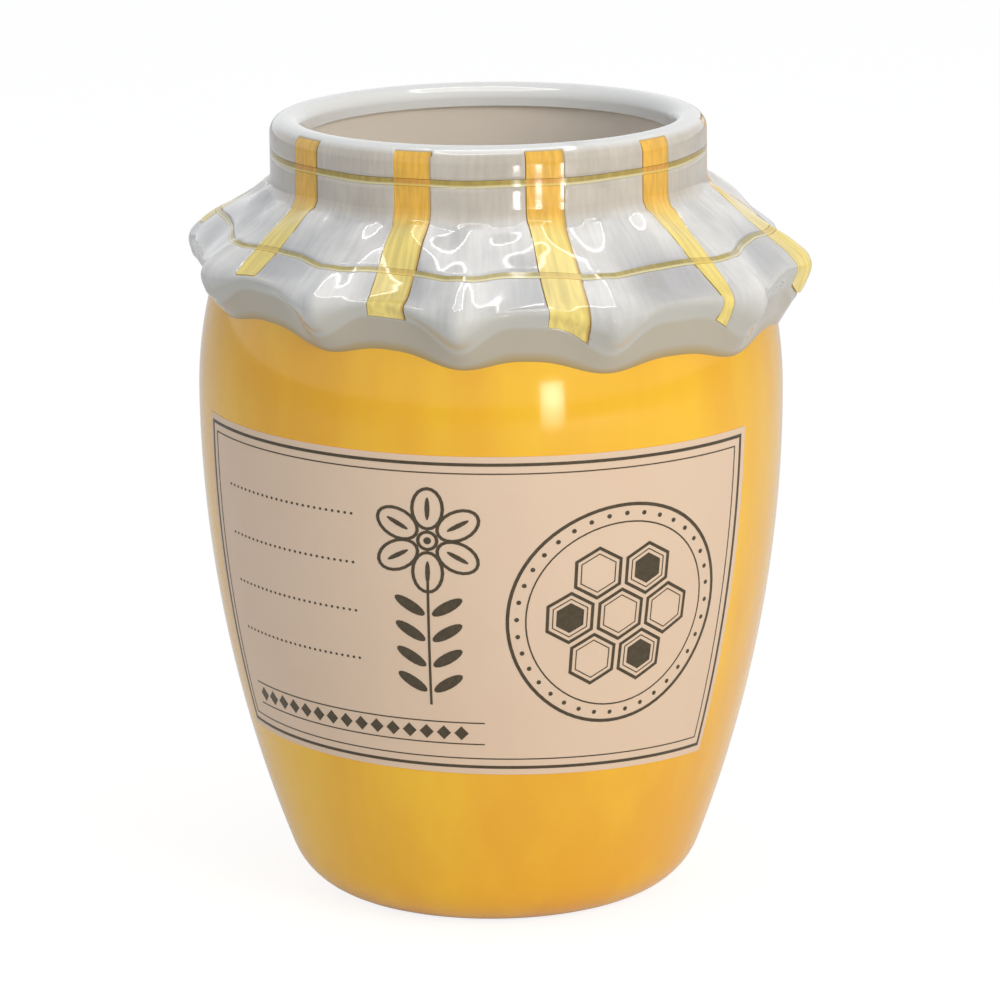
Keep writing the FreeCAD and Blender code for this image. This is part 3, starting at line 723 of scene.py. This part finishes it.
def pale_glaze():
    """A thin grey-white glaze brushed down the cloth: faintly streaked and mottled, brown in the
    grooves, and running into the yellow near the pot. Light and shade are painted into it: a
    painted highlight whitens the lip, and painted shade greys the hollows and darkens the cloth
    below the crest, under the hem and on the upright band, which is also warmer in tone."""
    material = new_material("pale_brushed_glaze")
    tree = material.node_tree
    place = on_object(tree)
    brush = put(tree, "ShaderNodeAttribute", attribute_name="brush").outputs["Vector"]
    run = attribute(tree, "run")
    cloud = clouds(tree, place, 85.0, 3.0)
    thin = put(tree, "ShaderNodeMix", {0: 0.62, 2: clouds(tree, brush, 0.8, 4.0), 3: cloud})
    thin = stretch(tree, thin.outputs[0], 0.34, 0.66)
    flare = blend(tree, thin, "#CBCCCC", "#EEEEEC")
    # painted shade: the upright band is painted darker than the flare, which faces the lamp above;
    # its warmer tone is the glaze's own
    warm = blend(tree, thin, "#C0B9AC", "#D6CFC2")
    wash = blend(tree, stretch(tree, run, 0.9, 1.1), warm, flare)
    # painted shade: the cloth is painted bluish grey where it is pushed in to hollows
    hollow = stretch(tree, attribute(tree, "hollow"), -0.2, 2.0, 0.0, 0.6)
    wash = blend(tree, hollow, wash, "#9EA0A6")
    # painted highlight: the lip is painted whiter, because its top faces the lamp above
    wash = blend(tree, stretch(tree, run, -0.16, -0.3), wash, "#E9EBEA")
    # the first two steps are painted shade below the crest and under the hem; the last is the grey
    # glaze meeting the yellow
    for start, end, colour in SHADE_AND_WASH_BELOW:
        wash = blend(tree, stretch(tree, run, start, end), wash, colour)
    patch = stretch(tree, clouds(tree, place, 60.0, 5.0), 0.66, 0.72, 0.0, 0.2)
    wash = blend(tree, patch, wash, "#A39C8C")
    pooled = stretch(tree, attribute(tree, "offset"), 0.05, 0.35)
    wash = blend(tree, pooled, wash, "#B7A266")
    cover(tree, wash, 0.1, IOR=1.5, Coat_Weight=0.4, Coat_Roughness=0.04,
          Normal=ripple(tree, cloud, 0.25, 0.0003))
    return material


whole_cloth = thrown_cloth()
score_stripes(whole_cloth)
mark_check(whole_cloth)
mark_surface(whole_cloth)
recessed = whole_cloth.copy()
for layer_name, depth in (("stripe", STRIPE_DEPTH + TILE_GAP), ("line", LINE_DEPTH + TILE_GAP)):
    mark = recessed.faces.layers.int[layer_name]
    press(recessed, [face for face in recessed.faces if face[mark]], depth)
cloth = new_object("cloth", recessed, pale_glaze())
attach(cloth, "root")
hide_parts("cloth_cover")


# ---------------------------------------------------------------- the check
# Ten wide stripes run down the cloth and two thin lines run round it. Their outlines are scored
# in the clay, and ochre and olive underglaze are brushed on inside them. Each is a thin tile that
# takes its face from the cloth and sits in the recess pressed for it.


def tile(name, layer_name, number, depth, *materials):
    """One piece of the check: its own faces of the cloth, given a thickness. Its offset is how far
    a point lies off the middle of the piece, in millimetres. A line has a second material where
    it crosses a stripe."""
    bm = whole_cloth.copy()
    mark = bm.faces.layers.int[layer_name]
    bmesh.ops.delete(bm, geom=[face for face in bm.faces if face[mark] != number], context="FACES")
    below = set(bm.verts)
    bmesh.ops.extrude_face_region(bm, geom=bm.faces[:], use_keep_orig=True)
    top = [face for face in bm.faces if not below & set(face.verts)]
    out_layer = bm.verts.layers.float_vector["outward"]
    offset_layer = bm.verts.layers.float["offset"]
    run_layer = bm.verts.layers.float["run"]
    for vert in below:
        vert.co -= vert[out_layer] * depth * MM
    if layer_name == "stripe":
        crossed = bm.faces.layers.int["line"]
        press(bm, [face for face in top if face[crossed]], LINE_DEPTH + TILE_GAP)
    else:
        crossed = bm.faces.layers.int["stripe"]
        for face in bm.faces:
            face.material_index = min(face[crossed], 1)
    for vert in bm.verts:
        if layer_name == "stripe":
            vert[offset_layer] = vert.co.dot(stripe_axes(number - 1)[1]) / MM
        else:
            middle, length = list(LINES.values())[number - 1]
            vert[offset_layer] = (vert[run_layer] - middle) * length
    bm.verts.layers.float_vector.remove(out_layer)
    bmesh.ops.recalc_face_normals(bm, faces=bm.faces)
    made = new_object(name, bm, *materials)
    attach(made, "root")
    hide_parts(name)
    return made


def dim(tree, colour, share):
    """A colour times a number."""
    return put(tree, "ShaderNodeVectorMath", {0: colour, 3: share}, operation="SCALE").outputs[0]


def brushed_colour(name, band, frill, rim_colour, rim_start, rim_end):
    """Underglaze brushed on by hand under a clear glaze: streaky, with another tone along the side
    where it ran into the scored outline. Light and shade are painted in: the colour is darker on
    the upright band than on the frill, which faces the lamp above, and dimmed in the hollows."""
    material = new_material(name)
    tree = material.node_tree
    brush = put(tree, "ShaderNodeAttribute", attribute_name="brush").outputs["Vector"]
    # painted light and shade: the upright band gets the darker tone and the frill, which faces the
    # lamp above, the lighter one
    colour = blend(tree, stretch(tree, attribute(tree, "run"), 0.9, 1.2), band, frill)
    streak = stretch(tree, clouds(tree, brush, 0.9, 4.0), 0.36, 0.64, 0.86, 1.08)
    # painted shade: the colour is dimmed where the cloth is pushed in to hollows
    hollow = stretch(tree, attribute(tree, "hollow"), 0.0, 2.0, 1.0, 0.86)
    colour = dim(tree, dim(tree, colour, streak), hollow)
    edge = stretch(tree, attribute(tree, "offset"), rim_start, rim_end)
    colour = blend(tree, edge, colour, rim_colour)
    cover(tree, colour, 0.1, IOR=1.5, Coat_Weight=0.4, Coat_Roughness=0.04)
    return material


# each underglaze has a darker tone for the upright band and a lighter one for the frill: painted
# shade and painted light
ochre = brushed_colour("ochre_underglaze", band="#F2BC42", frill="#F8E280",
                       rim_colour="#C9A24C", rim_start=3.7, rim_end=4.4)
for number in range(1, STRIPE_COUNT + 1):
    tile(f"check_band_{number:02d}", "stripe", number, STRIPE_DEPTH, ochre)

olive = brushed_colour("olive_underglaze", band="#B09A48", frill="#B3A45E",
                       rim_colour="#E2D9A6", rim_start=0.1, rim_end=0.5)
crossing = brushed_colour("ochre_over_olive", band="#DDA23A", frill="#E2C666",
                          rim_colour="#EBCB66", rim_start=0.1, rim_end=0.5)
for number, name in enumerate(LINES, start=1):
    tile(name, "line", number, LINE_DEPTH - TILE_GAP, olive, crossing)
whole_cloth.free()


# ---------------------------------------------------------------- the label
# A cream decal wrapped round the front of the belly, with a plain drawing in dark ink: frames,
# writing lines, a blossom and a round of honeycomb. It is drawn flat in millimetres and then
# bent round the pot, a little askew.

LABEL_WIDTH = 143.0
LABEL_HEIGHT = 76.0
LABEL_MARGIN = 1.5
# its lower and upper edges, each from the left end to the right: degrees round, and height
LABEL_FOOT = ((-69.6, 47.0), (53.6, 42.9))
LABEL_TOP = ((-69.6, 122.0), (56.5, 120.1))
FILM_IN = 0.02
FILM_OUT = 0.2
INK_SUNK = 0.03
INK_OUT = 0.26
STEP_ROUND = 2.5
STEP_UP = 4.0
FRAMES = [(0.0, 0.75), (2.4, 0.3)]
# rings and cells: their radii and the widths of their rims
RINGS = [(27.0, 0.8), (22.6, 0.35)]
RING_DOTS = 36
RING_OF_DOTS = 24.5
CELL_SPACING = 12.2
CELL_RIMS = [(6.5, 0.75), (4.8, 0.25)]
CELL_FILL = 3.7
PETALS = 6
STEM_WIDTH = 0.6
LEAF_OUT, LEAF_UP, LEAF_TILT = 4.3, 2.4, 32
DOT_STEP = 1.6
DIAMOND_STEP = 4.4
RULE_WIDTH = 0.3


def plate(bm, left, bottom, width, height):
    """A flat rectangle."""
    place = Matrix.Translation((left + width / 2, bottom + height / 2, 0))
    place = place @ Matrix.Diagonal((width, height, 1, 1))
    made = bmesh.ops.create_grid(bm, x_segments=1, y_segments=1, size=0.5, matrix=place)
    return made["verts"][0].link_faces[0]


def disc(bm, x, y, radius, corners=28, long=1.0, turned=0.0):
    """A flat round, oval or many-sided shape."""
    place = Matrix.Translation((x, y, 0)) @ Matrix.Rotation(math.radians(turned), 4, "Z")
    made = bmesh.ops.create_circle(bm, cap_ends=True, segments=corners, radius=radius,
                                   matrix=place @ Matrix.Diagonal((long, 1, 1, 1)))
    return made["verts"][0].link_faces[0]


def rim(bm, face, width):
    """Leaves only the rim of a flat shape."""
    bmesh.ops.inset_region(bm, faces=[face], thickness=width, use_even_offset=True,
                           use_boundary=True)
    bmesh.ops.delete(bm, geom=[face], context="FACES_ONLY")


def wrapped(name, bm, inner, outer, material):
    """Cuts a flat drawing into short steps, thickens it, and bends it round the pot."""
    for axis, reach, step in ((0, LABEL_WIDTH, STEP_ROUND), (1, LABEL_HEIGHT, STEP_UP)):
        for number in range(int((reach + 2 * LABEL_MARGIN) / step) + 1):
            centre = [0.0, 0.0, 0.0]
            centre[axis] = -LABEL_MARGIN + number * step
            normal = [0.0, 0.0, 0.0]
            normal[axis] = 1.0
            bmesh.ops.bisect_plane(bm, geom=bm.verts[:] + bm.edges[:] + bm.faces[:], dist=1e-4,
                                   plane_co=centre, plane_no=normal)
    bmesh.ops.translate(bm, verts=bm.verts, vec=(0, 0, inner))
    made = bmesh.ops.extrude_face_region(bm, geom=bm.faces[:], use_keep_orig=True)
    raised = [part for part in made["geom"] if isinstance(part, bmesh.types.BMVert)]
    bmesh.ops.translate(bm, verts=raised, vec=(0, 0, outer - inner))
    for vert in bm.verts:
        foot = between(*LABEL_FOOT, vert.co.x / LABEL_WIDTH)
        top = between(*LABEL_TOP, vert.co.x / LABEL_WIDTH)
        degrees, height = between(foot, top, vert.co.y / LABEL_HEIGHT)
        angle = math.radians(degrees)
        radius = flank_radius(height) + vert.co.z
        vert.co = Vector((radius * math.sin(angle), -radius * math.cos(angle), height)) * MM
    bmesh.ops.recalc_face_normals(bm, faces=bm.faces)
    return new_object(name, bm, material)


def draw_frames(bm):
    """A thick frame with a thin one inside it."""
    for inset, width in FRAMES:
        face = plate(bm, inset, inset, LABEL_WIDTH - 2 * inset, LABEL_HEIGHT - 2 * inset)
        rim(bm, face, width)


def draw_honeycomb(bm, x, y):
    """A double ring round seven cells, some of them filled."""
    for radius, width in RINGS:
        rim(bm, disc(bm, x, y, radius, corners=72), width)
    for number in range(RING_DOTS):
        turned = math.radians(360 / RING_DOTS * number)
        dot = (x + RING_OF_DOTS * math.cos(turned), y + RING_OF_DOTS * math.sin(turned))
        disc(bm, *dot, 0.55, corners=10)
    for number in range(7):
        away = 0.0 if number == 0 else CELL_SPACING
        turned = math.radians(60 * number)
        cell = (x + away * math.cos(turned), y + away * math.sin(turned))
        for radius, width in CELL_RIMS:
            rim(bm, disc(bm, *cell, radius, corners=6), width)
        if number % 2:
            disc(bm, *cell, CELL_FILL, corners=6)


def draw_blossom(bm, x, y, size):
    """An open blossom of six petals seen from the front."""
    for petal in range(PETALS):
        turned = 360 / PETALS * petal + 30
        reach = 0.62 * size
        at = (x + reach * math.cos(math.radians(turned)),
              y + reach * math.sin(math.radians(turned)))
        rim(bm, disc(bm, *at, 0.3 * size, corners=20, long=1.4, turned=turned), 0.06 * size)
        disc(bm, *at, 0.045 * size, corners=10, long=5.0, turned=turned)
    rim(bm, disc(bm, x, y, 0.2 * size, corners=20), 0.06 * size)
    disc(bm, x, y, 0.07 * size, corners=12)


def draw_sprig(bm, x, bottom, height):
    """A stem with pairs of leaves under a blossom."""
    plate(bm, x - STEM_WIDTH / 2, bottom, STEM_WIDTH, height)
    for pair in range(4):
        up = bottom + height * (0.1 + 0.2 * pair)
        for side in (-1, 1):
            disc(bm, x + side * LEAF_OUT, up + LEAF_UP, 1.35, corners=16, long=3.0,
                 turned=side * LEAF_TILT)


def draw_writing_lines(bm, left, right, heights):
    """Dotted lines, as on a form."""
    for height in heights:
        for number in range(int((right - left) / DOT_STEP)):
            disc(bm, left + DOT_STEP * number, height, 0.34, corners=8)


def draw_diamonds(bm, left, right, height):
    """A row of diamonds between two rules."""
    plate(bm, left, height + 2.6, right - left, RULE_WIDTH)
    plate(bm, left, height - 2.9, right - left, RULE_WIDTH)
    for number in range(int((right - left) / DIAMOND_STEP)):
        disc(bm, left + 2.6 + DIAMOND_STEP * number, height, 1.8, corners=4)


def cream_decal():
    """Screen-printed ceramic decal: an even warm cream with a satin face and faint clouding."""
    material = new_material("cream_ceramic_decal")
    tree = material.node_tree
    colour = blend(tree, clouds(tree, on_object(tree), 40.0, 4.0), "#E6CBB0", "#EBD3BA")
    cover(tree, colour, 0.42, IOR=1.45)
    return material


def dark_ink():
    """Dark olive-brown ceramic ink, printed a little unevenly."""
    material = new_material("dark_ceramic_ink")
    tree = material.node_tree
    colour = blend(tree, clouds(tree, on_object(tree), 900.0, 2.0), "#332B1E", "#5C5038")
    cover(tree, colour, 0.4, IOR=1.45)
    return material


panel = bmesh.new()
plate(panel, -LABEL_MARGIN, -LABEL_MARGIN, LABEL_WIDTH + 2 * LABEL_MARGIN,
      LABEL_HEIGHT + 2 * LABEL_MARGIN)
label = wrapped("label", panel, FILM_IN, FILM_OUT, cream_decal())
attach(label, "root")
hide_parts("label_transfer")

drawing = bmesh.new()
draw_frames(drawing)
draw_honeycomb(drawing, x=109.5, y=38.0)
draw_sprig(drawing, x=65.0, bottom=16.0, height=32.0)
draw_blossom(drawing, x=65.0, y=57.0, size=12.5)
draw_writing_lines(drawing, left=9.0, right=50.0, heights=(62.0, 50.0, 38.0, 26.0))
draw_diamonds(drawing, left=8.0, right=78.0, height=9.0)
label_print = wrapped("label_print", drawing, FILM_OUT - INK_SUNK, INK_OUT, dark_ink())
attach(label_print, "root")
